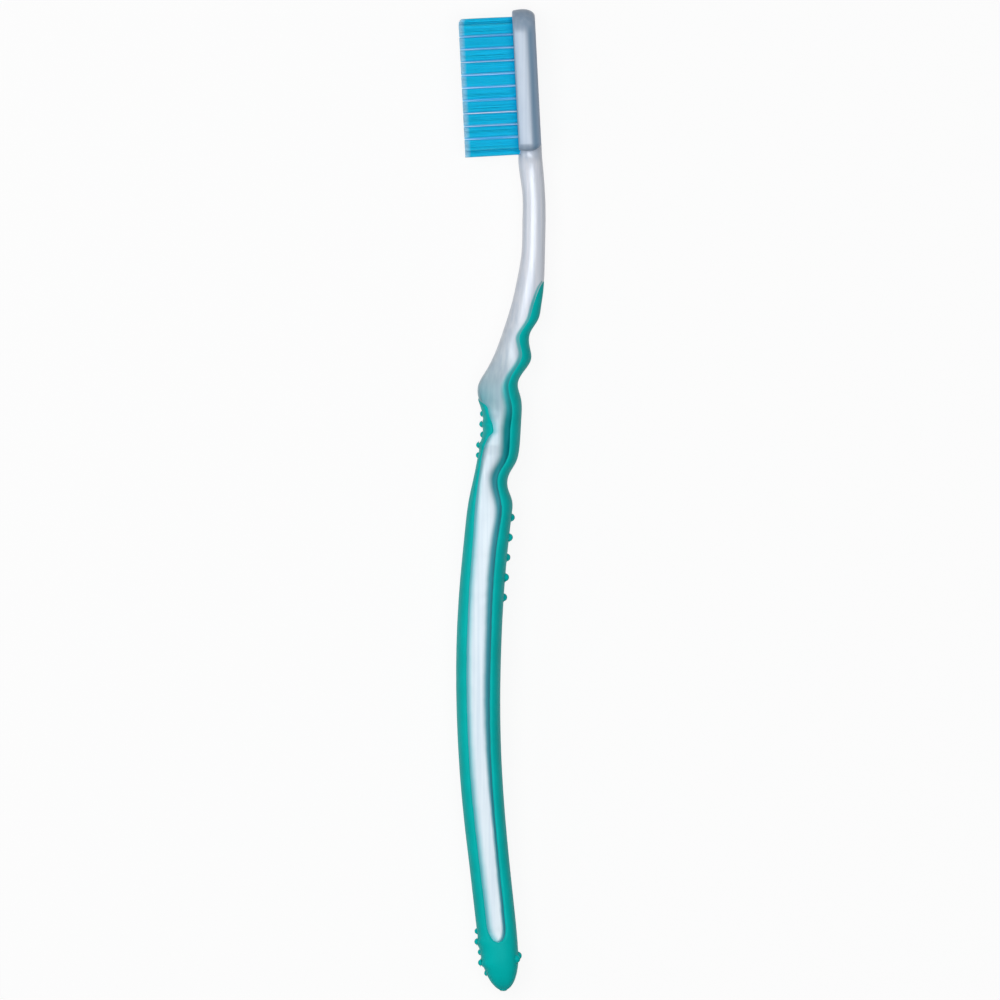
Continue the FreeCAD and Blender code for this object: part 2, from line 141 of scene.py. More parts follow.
# Head: a slab with a crowned side wall and a rounded back edge
HEAD_LENGTH = 27.5
HEAD_WIDTH = 11.6
HEAD_THICKNESS = 4.4
HEAD_TIP_RADIUS = 4.8
HEAD_BASE_RADIUS = 1.5
HEAD_CROWN_DEPTH = 2.0
HEAD_CROWN = 0.2
HEAD_BACK_ROUND = 1.5
HEAD_FACE_ROUND = 0.35
HEAD_ARC_STEPS = 12
HEAD_ROUND_STEPS = 7
HEAD_SIDE_STEPS = 14

# Bristles
FILAMENT_RADIUS = 0.1
FILAMENT_SIDES = 6
FILAMENT_RINGS = 7
FILAMENT_TIP = 0.12
TUFT_ROOT_RADIUS = 0.86
TUFT_TIP_RADIUS = 0.92
ROOT_DEPTH = 0.6
FILAMENT_RADII_SHARES = ((0.0, 1), (0.27, 6), (0.54, 12), (0.80, 17), (1.0, 23))
FILAMENT_SWAY = 0.07
LENGTH_SPREAD = 0.12
CORNER_LENGTH = 1.0
CORNER_DROP = 0.7
# Rings of a filament's rounded tip: how far below its end, as a share of the tip, and how wide, as a share of
# the filament's radius
FILAMENT_TIP_RINGS_SHARES = ((1 / 3, math.sqrt(0.5)), (0.0, 0.25))
# Inner tufts part a little over their anchors, in line with the gaps of the outer ones, so light comes through.
# The filaments beside the slit carry painted light: they are paler and glow faintly, in place of the light that
# clear nylon carries, and each pair of tufts shows that line more or less strongly.
INNER_COLUMNS = "bc"
WHOLE_TUFTS = ("tuft_b01", "tuft_b11", "tuft_c01", "tuft_c11")
SLIT = 0.05
GAP_LIGHT_REACH = 0.45
GAP_GLOW_STRENGTH = 0.34
FAINTEST_LINE_SHARE = 0.65

# Colours of the core, as linear red, green and blue, and how far each tint and painted shade reaches
PEARL = Vector((0.74, 0.77, 0.84))
WINDOW_PEARL = Vector((0.60, 0.69, 0.75))
# Painted light on the head, and on the neck beside it: shade, half shade and highlight, bluer than the pearl
# where the bristles shine through and as their painted reflection
HEAD_SHADE = Vector((0.19, 0.30, 0.42))
HEAD_HALF_SHADE = Vector((0.34, 0.44, 0.56))
HEAD_HIGHLIGHT = Vector((0.46, 0.53, 0.62))
THUMB_TINT = Vector((0.07, 0.38, 0.44))
FRONT_TINT = Vector((0.10, 0.46, 0.52))
# Depths and lengths at which the head's painted light and shade change, and how far the painted shade reaches
# at the head's base and on the neck
HEAD_FACE_DEPTH = 1.2
HEAD_HIGHLIGHT_DEPTH = 2.3
HEAD_SHADE_DEPTH = 3.3
HEAD_RIM_DEPTH = 4.2
HEAD_CAP_LENGTH = 5.0
HEAD_CAP_FADE = 2.5
HEAD_BASE_SHADE_SHARE = 0.6
HEAD_BASE_SHADE_LENGTH = 1.8
NECK_SHADE_SHARE = 0.5
NECK_SHADE_LENGTH = 2.5
PAD_TURN = 3.9
THUMB_TINT_SHARE = 0.95
THUMB_TINT_LENGTH = 4.9
FRONT_TINT_SHARE = 0.95
FRONT_TINT_LENGTH = 1.7
# Colour and reach of the back strip's tint at places below the neck, as shares of the knuckle's length: teal
# seen through the core, darkened lower down as painted shade
BACK_BAND_PLACES_SHARES = (0.0, 0.32, 0.5, 0.64, 0.78, 1.0, 1.9, 2.5)
UPPER_TINT = Vector((0.12, 0.50, 0.52))
HANDLE_TINT_AND_SHADE = Vector((0.03, 0.24, 0.29))
BACK_TINTS_AND_SHADES = (
    UPPER_TINT,
    UPPER_TINT,
    Vector((0.03, 0.38, 0.40)),
    Vector((0.0, 0.20, 0.21)),
    Vector((0.0, 0.19, 0.21)),
    HANDLE_TINT_AND_SHADE,
    HANDLE_TINT_AND_SHADE,
    HANDLE_TINT_AND_SHADE,
)
BACK_BAND_LENGTHS = (0.3, 0.9, 2.0, 2.7, 2.8, 2.1, 1.9, 1.0)
BACK_BAND_GAIN = 1.6

# Shades of the materials, as places of a 0 to 1 pattern with their colours
PEARL_FLOW = ((0.36, (0.84, 0.88, 0.92)), (0.64, (1.0, 1.0, 1.0)))
TEAL_SHADES = ((0.3, (0.0, 0.51, 0.485)), (0.7, (0.0, 0.57, 0.545)))
BRISTLE_SHADES = (
    (0.0, (0.0, 0.53, 0.95)),
    (0.2, (0.0, 0.64, 1.0)),
    (0.9, (0.0, 0.66, 1.0)),
    (0.97, (0.42, 0.76, 0.98)),
)
BRISTLE_STREAK = (0.05, 0.72, 1.0)
# Painted light beside the slits: the paler colour and the colour of the faint glow
BRISTLE_GAP_LIGHT = (0.3, 0.8, 1.0)
BRISTLE_GAP_GLOW = (0.12, 0.5, 0.8, 1.0)
BRASS_SHADES = ((0.3, (0.45, 0.32, 0.12)), (0.7, (0.62, 0.47, 0.20)))
FLOOR_SHADES = ((0.0, (0.38, 0.38, 0.38)), (1.0, (0.42, 0.42, 0.42)))
PAPER = (0.98, 0.98, 0.98, 1)
SKY = (0.9, 0.95, 1.0, 1)
WHITE = (1, 1, 1, 1)

# Camera: the photograph's scale and where the brush's middle lies in it
PHOTO_SIZE = 1000
PHOTO_MM_PER_PIXEL = 0.19368
PHOTO_CENTRE = (500.8, 499.5)
CAMERA_HEIGHT = 8000.0
SENSOR = 36.0

# Stage: the floor, the sky, and the lamps' places, sides and watts
FLOOR_HALF = 1500.0
FLOOR_CORNERS = ((-1, -1), (1, -1), (1, 1), (-1, 1))
FLOOR_GLOW_SHARE = 0.9
SKY_STRENGTH = 0.12
LAMPS = {
    "key": ((-80, 40, 900), (380, 900), 5.8),
    "side": ((-700, 0, 260), (200, 800), 0.8),
    "rim": ((700, 0, 110), (100, 800), 0.2),
}


def metres(point):
    return Vector(point) * METRES_PER_MM


def blend(start, end, share):
    return start + (end - start) * share


def clamp(value):
    return min(max(value, 0.0), 1.0)


def ease(value):
    """Share that starts and ends level."""
    share = clamp(value)
    return share * share * (3 - 2 * share)


def between(places, values, place):
    """Value at a place, read straight between the places given."""
    for index in range(1, len(places)):
        if place <= places[index]:
            share = (place - places[index - 1]) / (places[index] - places[index - 1])
            return blend(values[index - 1], values[index], clamp(share))
    return values[-1]


# Measuring the solids


def cad_tree(node):
    """Search tree of a CAD node's surface, in millimetres."""
    mesh = frame["nodes"][node].data
    mesh.calc_loop_triangles()
    corners = [vertex.co / METRES_PER_MM for vertex in mesh.vertices]
    return BVHTree.FromPolygons(corners, [tuple(face.vertices) for face in mesh.loop_triangles])


CORE_TREE = cad_tree("handle_core")
GRIP_TREE = cad_tree("soft_grip")
LOW_CORNER, HIGH_CORNER = (corner / METRES_PER_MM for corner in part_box("soft_grip"))
FOOT_Y = LOW_CORNER.y
NECK_Y = HIGH_CORNER.y
KNUCKLE_Y = NECK_Y - KNUCKLE_LENGTH
MOUNTS = {mount["name"]: mount for mount in frame["record"]["mounts"]}
HEAD_BACK = Vector(MOUNTS["head_back"]["pos_m"]) / METRES_PER_MM
HEAD_DEPTH = Vector(MOUNTS["head_back"]["axis"])
HEAD_ACROSS = Vector((0, 0, 1))
HEAD_ALONG = HEAD_ACROSS.cross(HEAD_DEPTH)
MIDDLE_Z = HEAD_BACK.z


def head_point(along, across, depth):
    """Point of the head: along from its base to its tip, across its width, and depth below the bristle face."""
    base = HEAD_BACK - HEAD_ALONG * (HEAD_LENGTH / 2) - HEAD_DEPTH * HEAD_THICKNESS
    return base + HEAD_ALONG * along + HEAD_ACROSS * across + HEAD_DEPTH * depth


HEAD_Y = head_point(0, 0, 0).y


def first_hit(origin, direction):
    """Nearest point of core or grip along a ray, and whether it is on the grip."""
    core = CORE_TREE.ray_cast(origin, direction)[0]
    grip = GRIP_TREE.ray_cast(origin, direction)[0]
    if grip is None:
        return core, False
    if core is None or (grip - origin).length < (core - origin).length:
        return grip, True
    return core, False


def recess(y):
    """How far the bare core lies below the grip's surface."""
    return WINDOW_RECESS * clamp((NECK_Y - y) / KNUCKLE_LENGTH)


def fullness(y):
    """How square the oval section is."""
    return blend(HANDLE_FULLNESS_SHARE, NECK_FULLNESS_SHARE, clamp((y - KNUCKLE_Y) / KNUCKLE_LENGTH))


def oval(turn, corner):
    """Point of the unit oval at a turn, measured across to the back and up."""
    quarter = ((1, 0), (corner, corner), (0, 1), (-corner, corner))
    ring = quarter + tuple((-across, -up) for across, up in quarter)
    span = math.floor(turn)
    s = turn - span
    weights = (
        (1 - s) ** 3 / 6,
        (3 * s ** 3 - 6 * s ** 2 + 4) / 6,
        (-3 * s ** 3 + 3 * s ** 2 + 3 * s + 1) / 6,
        s ** 3 / 6,
    )
    # A uniform cubic ring passes each middle pole at (4 + 2 * corner) / 6 of the pole's distance.
    scale = 6 / (4 + 2 * corner)
    across = sum(weight * ring[(span + index - 1) % len(ring)][0] for index, weight in enumerate(weights))
    up = sum(weight * ring[(span + index - 1) % len(ring)][1] for index, weight in enumerate(weights))
    return across * scale, up * scale


def turn_at(value, axis, corner, low, high):
    """Turn between low and high where the unit oval's coordinate on an axis falls to a value."""
    for _ in range(BISECTIONS):
        middle = (low + high) / 2
        if oval(middle, corner)[axis] > value:
            low = middle
        else:
            high = middle
    return (low + high) / 2


class Station:
    """The brush's oval section at one height, with the edges of the window in the grip."""

    def __init__(self, y):
        self.y = y
        self.corner = fullness(y)
        self.measure()
        self.find_edges()

    def measure(self):
        """Centre, half thickness and half width."""
        front = first_hit(Vector((-RAY_START, self.y, MIDDLE_Z)), Vector((1, 0, 0)))[0]
        back = first_hit(Vector((RAY_START, self.y, MIDDLE_Z)), Vector((-1, 0, 0)))[0]
        self.centre = (front.x + back.x) / 2
        top, on_grip = first_hit(Vector((self.centre, self.y, RAY_START)), Vector((0, 0, -1)))
        self.half_width = top.z - MIDDLE_Z + (0 if on_grip else recess(self.y))
        offset = min(RAY_OFFSET, RAY_OFFSET_SHARE * self.half_width)
        front = first_hit(Vector((-RAY_START, self.y, MIDDLE_Z + offset)), Vector((1, 0, 0)))
        back = first_hit(Vector((RAY_START, self.y, MIDDLE_Z + offset)), Vector((-1, 0, 0)))
        turn = turn_at(-offset / self.half_width, AXIS_UP, self.corner, FRONT_TURN, UNDERSIDE_TURN)
        across = -oval(turn, self.corner)[0]
        front_x = front[0].x - (0 if front[1] else recess(self.y))
        back_x = back[0].x + (0 if back[1] else recess(self.y))
        self.centre = (front_x + back_x) / 2
        self.half_thickness = (back_x - front_x) / 2 / across

    def find_edges(self):
        """Turns at which the window meets the back strip and the front strip, seen from above."""
        self.windowed = not self.is_grip(self.centre)
        self.back_turn = self.edge_turn(1)
        self.front_turn = self.edge_turn(-1)

    def is_grip(self, x):
        point, on_grip = first_hit(Vector((x, self.y, RAY_START)), Vector((0, 0, -1)))
        return point is not None and on_grip

    def edge_turn(self, side):
        """Turn of the first grip met from the centre towards the back (+1) or the front (-1)."""
        if not self.windowed:
            return TOP_TURN
        reach = 0
        while reach < self.half_thickness:
            if self.is_grip(self.centre + side * reach):
                across = side * reach / self.half_thickness
                return turn_at(across, AXIS_ACROSS, self.corner, BACK_TURN, FRONT_TURN)
            reach += EDGE_STEP
        return BACK_TURN if side > 0 else FRONT_TURN

    def point(self, turn, lift):
        """Point of the section at a turn, raised by lift along the section's normal."""
        across, up = oval(turn, self.corner)
        ahead = oval(turn + NORMAL_STEP, self.corner)
        behind = oval(turn - NORMAL_STEP, self.corner)
        along = Vector(((ahead[0] - behind[0]) * self.half_thickness, (ahead[1] - behind[1]) * self.half_width))
        normal = Vector((along.y, -along.x)).normalized()
        x = self.centre + across * self.half_thickness + normal.x * lift
        z = MIDDLE_Z + up * self.half_width + normal.y * lift
        return Vector((x, self.y, z))


def smoothed(stations, name, width=SMOOTHING):
    """A measured value averaged over its neighbours with a bell-shaped weight."""
    values = []
    reach = 3 * width
    for station in stations:
        near = [other for other in stations if abs(other.y - station.y) <= reach]
        weights = [math.exp(-((other.y - station.y) / width) ** 2 / 2) for other in near]
        total = sum(weight * getattr(other, name) for weight, other in zip(weights, near))
        values.append(total / sum(weights))
    return values


def measure_brush():
    """Stations from the foot to the head's root, with the solids' facets smoothed away above the foot."""
    heights = []
    for ring in range(FOOT_RINGS):
        angle = math.radians(blend(FOOT_FIRST_DEGREES, 90, ring / FOOT_RINGS))
        heights.append(FOOT_Y + FOOT_ROUND * (1 - math.cos(angle)))
    foot = [Station(y) for y in heights]
    count = math.floor((HEAD_Y - NECK_ROOT_GAP - FOOT_Y - FOOT_ROUND) / STATION_STEP)
    upper = [Station(FOOT_Y + FOOT_ROUND + step * STATION_STEP) for step in range(count)]
    smooth = {name: smoothed(upper, name) for name in ("centre", "half_thickness", "half_width")}
    for name, values in smooth.items():
        for station, value in zip(upper, values):
            setattr(station, name, value)
    windowed = [station for station in upper if station.windowed and station.y < NECK_Y]
    for name in ("back_turn", "front_turn"):
        for station, value in zip(windowed, smoothed(windowed, name)):
            setattr(station, name, value)
    stations = foot + upper
    shape_window_end(stations)
    shape_faces(stations)
    return stations + [neck_root(upper[-1])]


def shape_faces(stations):
    """Turns between which the core's bare face is flattened, smoother than the strips' edges."""
    for station in stations:
        station.face_back = station.back_turn
        station.face_front = min(station.front_turn, FACE_FRONT_TURN)
    bare = [station for station in stations if station.windowed]
    for name in ("face_back", "face_front"):
        for station, value in zip(bare, smoothed(bare, name, FACE_SMOOTHING)):
            setattr(station, name, value)


def neck_root(last):
    """The neck's last section carried straight on into the head."""
    root = copy.copy(last)
    root.y += NECK_ROOT_GAP + NECK_ROOT
    root.centre -= HEAD_DEPTH.y * (NECK_ROOT_GAP + NECK_ROOT)
    return root


def shape_window_end(stations):
    """Draws the window's lower end as a rounded point."""
    end_y = FOOT_Y + WINDOW_END
    full = min(stations, key=lambda station: abs(station.y - end_y - WINDOW_END_LENGTH))
    middle = blend(full.back_turn, full.front_turn, WINDOW_END_SHARE)
    spans = [(name, getattr(full, name) - middle) for name in ("back_turn", "front_turn")]
    for station in stations:
        share = (station.y - end_y) / WINDOW_END_LENGTH
        if share < 1:
            station.windowed = share > 0
            factor = math.sqrt(1 - (1 - clamp(share)) ** 2)
            for name, span in spans:
                setattr(station, name, middle + span * factor)


STATIONS = measure_brush()


# Mesh building


def make_piece(name, points, faces, material, node=None):
    """Smooth mesh piece in metres that rides on the brush."""
    mesh = bpy.data.meshes.new(name)
    mesh.from_pydata([metres(point) for point in points], [], faces)
    mesh.validate()
    mesh.shade_smooth()
    mesh.materials.append(material)
    piece = bpy.data.objects.new(name, mesh)
    bpy.context.scene.collection.objects.link(piece)
    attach(piece, BODY)
    if node:
        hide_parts(node)
    return piece


def tube_faces(ring_count, column_count, start=0):
    """Quads round a tube of rings, with both ends closed."""
    faces = []
    for ring in range(ring_count - 1):
        for column in range(column_count):
            after = (column + 1) % column_count
            low = start + ring * column_count
            high = low + column_count
            faces.append((low + column, high + column, high + after, low + after))
    last = start + (ring_count - 1) * column_count
    faces.append(tuple(start + column for column in range(column_count)))
    faces.append(tuple(last + column for column in reversed(range(column_count))))
    return faces


def add_values(piece, name, values):
    """Stores one number per vertex for the piece's material."""
    piece.data.attributes.new(name, "FLOAT", "POINT").data.foreach_set("value", values)


def add_colours(piece, name, colours):
    """Stores one colour per vertex for the piece's material."""
    flat = [value for colour in colours for value in (*colour, 1.0)]
    piece.data.attributes.new(name, "FLOAT_COLOR", "POINT").data.foreach_set("color", flat)


def knuckle_share(y):
    """Place down the knuckle, from 0 at the neck to 1 at the handle."""
    return clamp((NECK_Y - y) / KNUCKLE_LENGTH)


def face_dip(station, turn):
    """How far the core's face between the strips lies below its oval."""
    low = station.face_back
    high = station.face_front
    if not low < turn < high:
        return 0.0
    first, top, last, here = (oval(place, station.corner) for place in (low, (low + high) / 2, high, turn))
    slope = (last[1] - first[1]) / (last[0] - first[0])
    most = top[1] - first[1] - slope * (top[0] - first[0])
    rise = here[1] - first[1] - slope * (here[0] - first[0])
    start = (knuckle_share(station.y) - FACE_START_SHARE) / (FACE_FULL_SHARE - FACE_START_SHARE)
    return FACE_FLAT_SHARE * ease(start) * station.half_width * rise * rise / most


def core_skin():
    """Handle, knuckle and neck of the core, with each point's colour."""
    points = []
    colours = []
    pad_tip = max((station for station in STATIONS if station.front_turn < PAD_TURN), key=lambda other: other.y)
    pad_point = pad_tip.point(FRONT_TURN, 0)
    for station in STATIONS:
        for column in range(CORE_COLUMNS):
            turn = FULL_TURN * column / CORE_COLUMNS
            upper_turn = min(turn, FULL_TURN - turn)
            point = station.point(turn, -recess(station.y))
            point.z += face_dip(station, upper_turn) * (-1 if turn < FRONT_TURN else 1)
            points.append(point)
            colours.append(core_colour(station, upper_turn, pad_point))
    return points, tube_faces(len(STATIONS), CORE_COLUMNS), colours


def core_colour(station, turn, pad_point):
    """Pearl tinted by the grip and the thumb pad that shine through the core, with painted shade in the dark
    band beside the back strip and darker, bluer painted shade close to the head.
    """
    here = station.point(turn, 0)
    place = knuckle_share(station.y)
    # Painted shade close to the head: darker and bluer.
    head_share = ease(1 - (HEAD_Y - station.y) / NECK_SHADE_LENGTH)
    colour = PEARL.lerp(WINDOW_PEARL, place).lerp(HEAD_HALF_SHADE, head_share * NECK_SHADE_SHARE)
    if station.y >= NECK_Y:
        return colour
    pad_gap = (Vector((here.x, here.y)) - Vector((pad_point.x, pad_point.y))).length
    colour = colour.lerp(THUMB_TINT, THUMB_TINT_SHARE * math.exp(-pad_gap / THUMB_TINT_LENGTH))
    if station.front_turn < FRONT_TURN:
        gap = (here - station.point(station.front_turn, 0)).length
        colour = colour.lerp(FRONT_TINT, FRONT_TINT_SHARE * ease(1 - gap / FRONT_TINT_LENGTH))
    # Beside the back strip: teal seen through the core, darkened lower down as painted shade.
    if station.windowed:
        gap = (here - station.point(station.back_turn, 0)).length
        below_neck = (NECK_Y - station.y) / KNUCKLE_LENGTH
        tint_and_light = between(BACK_BAND_PLACES_SHARES, BACK_TINTS_AND_SHADES, below_neck)
        length = between(BACK_BAND_PLACES_SHARES, BACK_BAND_LENGTHS, below_neck)
        colour = colour.lerp(tint_and_light, ease(BACK_BAND_GAIN * (1 - gap / length)))
    return colour


def arc(centre, radius, start, end, steps):
    """Points of an arc in the head's plan, from one angle to another."""
    points = []
    for step in range(steps + 1):
        angle = math.radians(blend(start, end, step / steps))
        points.append((centre[0] + radius * math.cos(angle), centre[1] + radius * math.sin(angle)))
    return points


def head_outline(inset):
    """Plan of the head as (along, across), drawn in by inset."""
    half = HEAD_WIDTH / 2
    tip = (HEAD_LENGTH - HEAD_TIP_RADIUS, half - HEAD_TIP_RADIUS)
    base = (HEAD_BASE_RADIUS, half - HEAD_BASE_RADIUS)
    tip_radius = HEAD_TIP_RADIUS - inset
    base_radius = max(HEAD_BASE_RADIUS - inset, 0)
    outline = arc(tip, tip_radius, 0, 90, HEAD_ARC_STEPS)
    for step in range(1, HEAD_SIDE_STEPS):
        outline.append((blend(tip[0], base[0], step / HEAD_SIDE_STEPS), half - inset))
    outline += arc(base, base_radius, 90, 180, HEAD_ARC_STEPS)
    outline += [(along, -across) for along, across in reversed(outline)]
    return outline


def head_profile():
    """Inset and depth down the head's side wall: broken face edge, crowned wall, well rounded back edge."""
    levels = []
    for step in range(HEAD_ROUND_STEPS + 1):
        angle = math.radians(90 * step / HEAD_ROUND_STEPS)
        levels.append((HEAD_FACE_ROUND * (1 - math.sin(angle)), HEAD_FACE_ROUND * (1 - math.cos(angle))))
    for step in range(1, HEAD_ROUND_STEPS + 1):
        levels.append((0.0, blend(HEAD_FACE_ROUND, HEAD_CROWN_DEPTH, step / HEAD_ROUND_STEPS)))
    levels = [(inset + HEAD_CROWN * (1 - depth / HEAD_CROWN_DEPTH) ** 2, depth) for inset, depth in levels]
    back_steps = 2 * HEAD_ROUND_STEPS
    for step in range(1, back_steps + 1):
        angle = math.radians(90 * step / back_steps)
        inset = HEAD_BACK_ROUND * (1 - math.cos(angle))
        levels.append((inset, blend(HEAD_CROWN_DEPTH, HEAD_THICKNESS, math.sin(angle))))
    return levels


def head_colour(along, depth):
    """Painted light and shade on the head, bluer than the pearl where the bristles shine through and as their
    painted reflection: a painted highlight as a pale strip along the side wall, painted shade in steel blue
    behind it on the back edge and at the base, and a painted half shade at the face edge, the rim and the tip.
    """
    share = (depth - HEAD_HIGHLIGHT_DEPTH) / (HEAD_SHADE_DEPTH - HEAD_HIGHLIGHT_DEPTH)
    colour = HEAD_HALF_SHADE.lerp(HEAD_HIGHLIGHT, ease(depth / HEAD_FACE_DEPTH)).lerp(HEAD_SHADE, ease(share))
    rim_share = (depth - HEAD_SHADE_DEPTH) / (HEAD_RIM_DEPTH - HEAD_SHADE_DEPTH)
    colour = colour.lerp(HEAD_HALF_SHADE, ease(rim_share))
    colour = colour.lerp(HEAD_SHADE, HEAD_BASE_SHADE_SHARE * ease(1 - along / HEAD_BASE_SHADE_LENGTH))
    return colour.lerp(HEAD_HALF_SHADE, ease((along - HEAD_LENGTH + HEAD_CAP_LENGTH) / HEAD_CAP_FADE))


def head_slab():
    """Head's points and faces, with each point's colour."""
    points = []
    colours = []
    levels = head_profile()
    for inset, depth in levels:
        outline = head_outline(inset)
        points += [head_point(along, across, depth) for along, across in outline]
        colours += [head_colour(along, depth) for along, _ in outline]
    return points, tube_faces(len(levels), len(points) // len(levels)), colours


def build_core(material):
    """Core: handle, neck and head in one piece."""
    points, faces, colours = core_skin()
    slab_points, slab_faces, slab_colours = head_slab()
    start = len(points)
    faces += [tuple(start + index for index in face) for face in slab_faces]
    piece = make_piece("core_moulding", points + slab_points, faces, material, "handle_core")
    # These colours carry painted light and shade as well as the tints.
    add_colours(piece, "pearl_tint_and_light", colours + slab_colours)
    return piece


def lip(gap):
    """Height share of a strip at a gap from its edge: a quarter oval, then level."""
    share = clamp(gap / LIP_LENGTH)
    return math.sqrt(1 - (1 - share) ** 2)


def grip_half(station):
    """Turns and lifts across one half of the grip's section, from the back to the front."""
    drop = recess(station.y) + LIP_COVER
    if station.y >= NECK_Y:
        back_turn, front_turn, is_open = BACK_TURN, FRONT_TURN, True
    else:
        back_turn, front_turn, is_open = station.back_turn, station.front_turn, station.windowed
    columns = []
    for edge, far_end in ((back_turn, BACK_TURN), (front_turn, FRONT_TURN)):
        strip = []
        edge_point = station.point(edge, 0)
        for column in range(STRIP_COLUMNS + 1):
            turn = blend(far_end, edge, math.sin(math.pi / 2 * column / STRIP_COLUMNS))
            gap = (station.point(turn, 0) - edge_point).length
            strip.append((turn, drop * (lip(gap) - 1) if is_open else 0.0))
        columns.append(strip)
    hidden = []
    for column in range(HIDDEN_COLUMNS):
        turn = blend(back_turn, front_turn, column / (HIDDEN_COLUMNS - 1))
        hidden.append((turn, -drop - HIDDEN_DEPTH if is_open else 0.0))
    return columns[0] + hidden + columns[1][::-1]


def foot_dome(first):
    """Rings that round the foot off below its lowest section, from the lowest up."""
    rings = []
    for step in range(FOOT_DOME_RINGS, 0, -1):
        angle = math.radians(90 * step / (FOOT_DOME_RINGS + 1))
        ring = copy.copy(first)
        ring.y -= FOOT_DOME * math.sin(angle)
        ring.half_thickness *= math.cos(angle)
        ring.half_width *= math.cos(angle)
        rings.append(ring)
    return rings


def build_grip(material):
    """Soft grip: one skin whose window dips inside the core."""
    points = []
    rings = foot_dome(STATIONS[0]) + [station for station in STATIONS if station.y < NECK_Y + TIP_OVERRUN]
    for station in rings:
        half = grip_half(station)
        ring = half + [(FULL_TURN - turn, lift) for turn, lift in half[-2:0:-1]]
        points += [station.point(turn, lift) for turn, lift in ring]
    faces = tube_faces(len(rings), len(points) // len(rings))
    return make_piece("grip_skin", points, faces, material, "soft_grip")


def dot_profile(radius, sink):
    """Radius and height of a dome with a small fillet at its foot."""
    profile = [(math.sqrt(radius ** 2 - sink ** 2) + DOT_FILLET, -DOT_FOOT_DEPTH)]
    for degrees in DOT_RING_DEGREES:
        angle = math.radians(degrees)
        profile.append((radius * math.cos(angle), radius * math.sin(angle) - sink))
    return profile


def dot(height, side, offset, radius, sink):
    """Points and faces of one dot on the front (side -1) or back (+1) of the grip."""
    y = FOOT_Y + height
    station = min(STATIONS, key=lambda other: abs(other.y - y))
    up = offset / station.half_width
    turn = turn_at(-abs(up), AXIS_UP, station.corner, FRONT_TURN, UNDERSIDE_TURN) - FRONT_TURN
    turn = turn if side > 0 else FRONT_TURN - turn
    turn = turn if offset >= 0 else FULL_TURN - turn
    seat = station.point(turn, 0)
    outward = (station.point(turn, 1) - seat).normalized()
    seat.y = y
    along = Vector((0, 1, 0))
    across = outward.cross(along)
    profile = dot_profile(radius, sink)
    points = []
    for reach, rise in profile:
        for segment in range(DOT_SEGMENTS):
            angle = 2 * math.pi * segment / DOT_SEGMENTS
            points.append(seat + (along * math.cos(angle) + across * math.sin(angle)) * reach + outward * rise)
    return points, tube_faces(len(profile), DOT_SEGMENTS)


def build_dots(material):
    """All raised dots of the grip in one piece."""
    places = []
    for heights, side, pair_offset, radius, sink in (
        (BACK_DOT_HEIGHTS, 1, BACK_DOT_OFFSET, BACK_DOT_RADIUS, BACK_DOT_SINK),
        (THUMB_DOT_HEIGHTS, -1, SMALL_DOT_OFFSET, SMALL_DOT_RADIUS, SMALL_DOT_SINK),
        (FOOT_DOT_HEIGHTS, -1, SMALL_DOT_OFFSET, SMALL_DOT_RADIUS, SMALL_DOT_SINK),
        (HEEL_DOT_HEIGHTS, 1, HEEL_DOT_OFFSET, HEEL_DOT_RADIUS, HEEL_DOT_SINK),
    ):
        for row, height in enumerate(heights):
            offsets = (0,) if row % 2 == 0 else (-pair_offset, pair_offset)
            places += [(height, side, offset, radius, sink) for offset in offsets]
    points = []
    faces = []
    for place in places:
        dot_points, dot_faces = dot(*place)
        faces += [tuple(len(points) + index for index in face) for face in dot_faces]
        points += dot_points
    return make_piece("grip_dots", points, faces, material)


def filament(root, tip, chance):
    """Points and tip shares of one filament: a thin tube that sways a little and ends in a rounded tip."""
    length = (tip - root).length
    along = (tip - root).normalized()
    first = along.cross(HEAD_ACROSS).normalized()
    second = along.cross(first)
    sway = chance.uniform(-FILAMENT_SWAY, FILAMENT_SWAY)
    turn = chance.uniform(0, 2 * math.pi)
    rings = []
    for ring in range(FILAMENT_RINGS):
        share = ring / (FILAMENT_RINGS - 1)
        rings.append(((length - FILAMENT_TIP) * share, FILAMENT_RADIUS))
    for below_end, width in FILAMENT_TIP_RINGS_SHARES:
        rings.append((length - FILAMENT_TIP * below_end, FILAMENT_RADIUS * width))
    points = []
    shares = []
    for reach, radius in rings:
        bend = sway * math.sin(math.pi * reach / length)
        middle = root + along * reach + (first * math.cos(turn) + second * math.sin(turn)) * bend
        for side in range(FILAMENT_SIDES):
            angle = 2 * math.pi * side / FILAMENT_SIDES
            points.append(middle + (first * math.cos(angle) + second * math.sin(angle)) * radius)
            shares.append(reach / length)
    return points, shares, tube_faces(len(rings), FILAMENT_SIDES)


def filament_places(chance):
    """Places in a tuft's round section, ring by ring, along and across the head, as shares of its radius."""
    for radius_share, count in FILAMENT_RADII_SHARES:
        start = chance.uniform(0, 2 * math.pi)
        for index in range(count):
            angle = start + 2 * math.pi * index / count
            yield radius_share * math.cos(angle), radius_share * math.sin(angle)


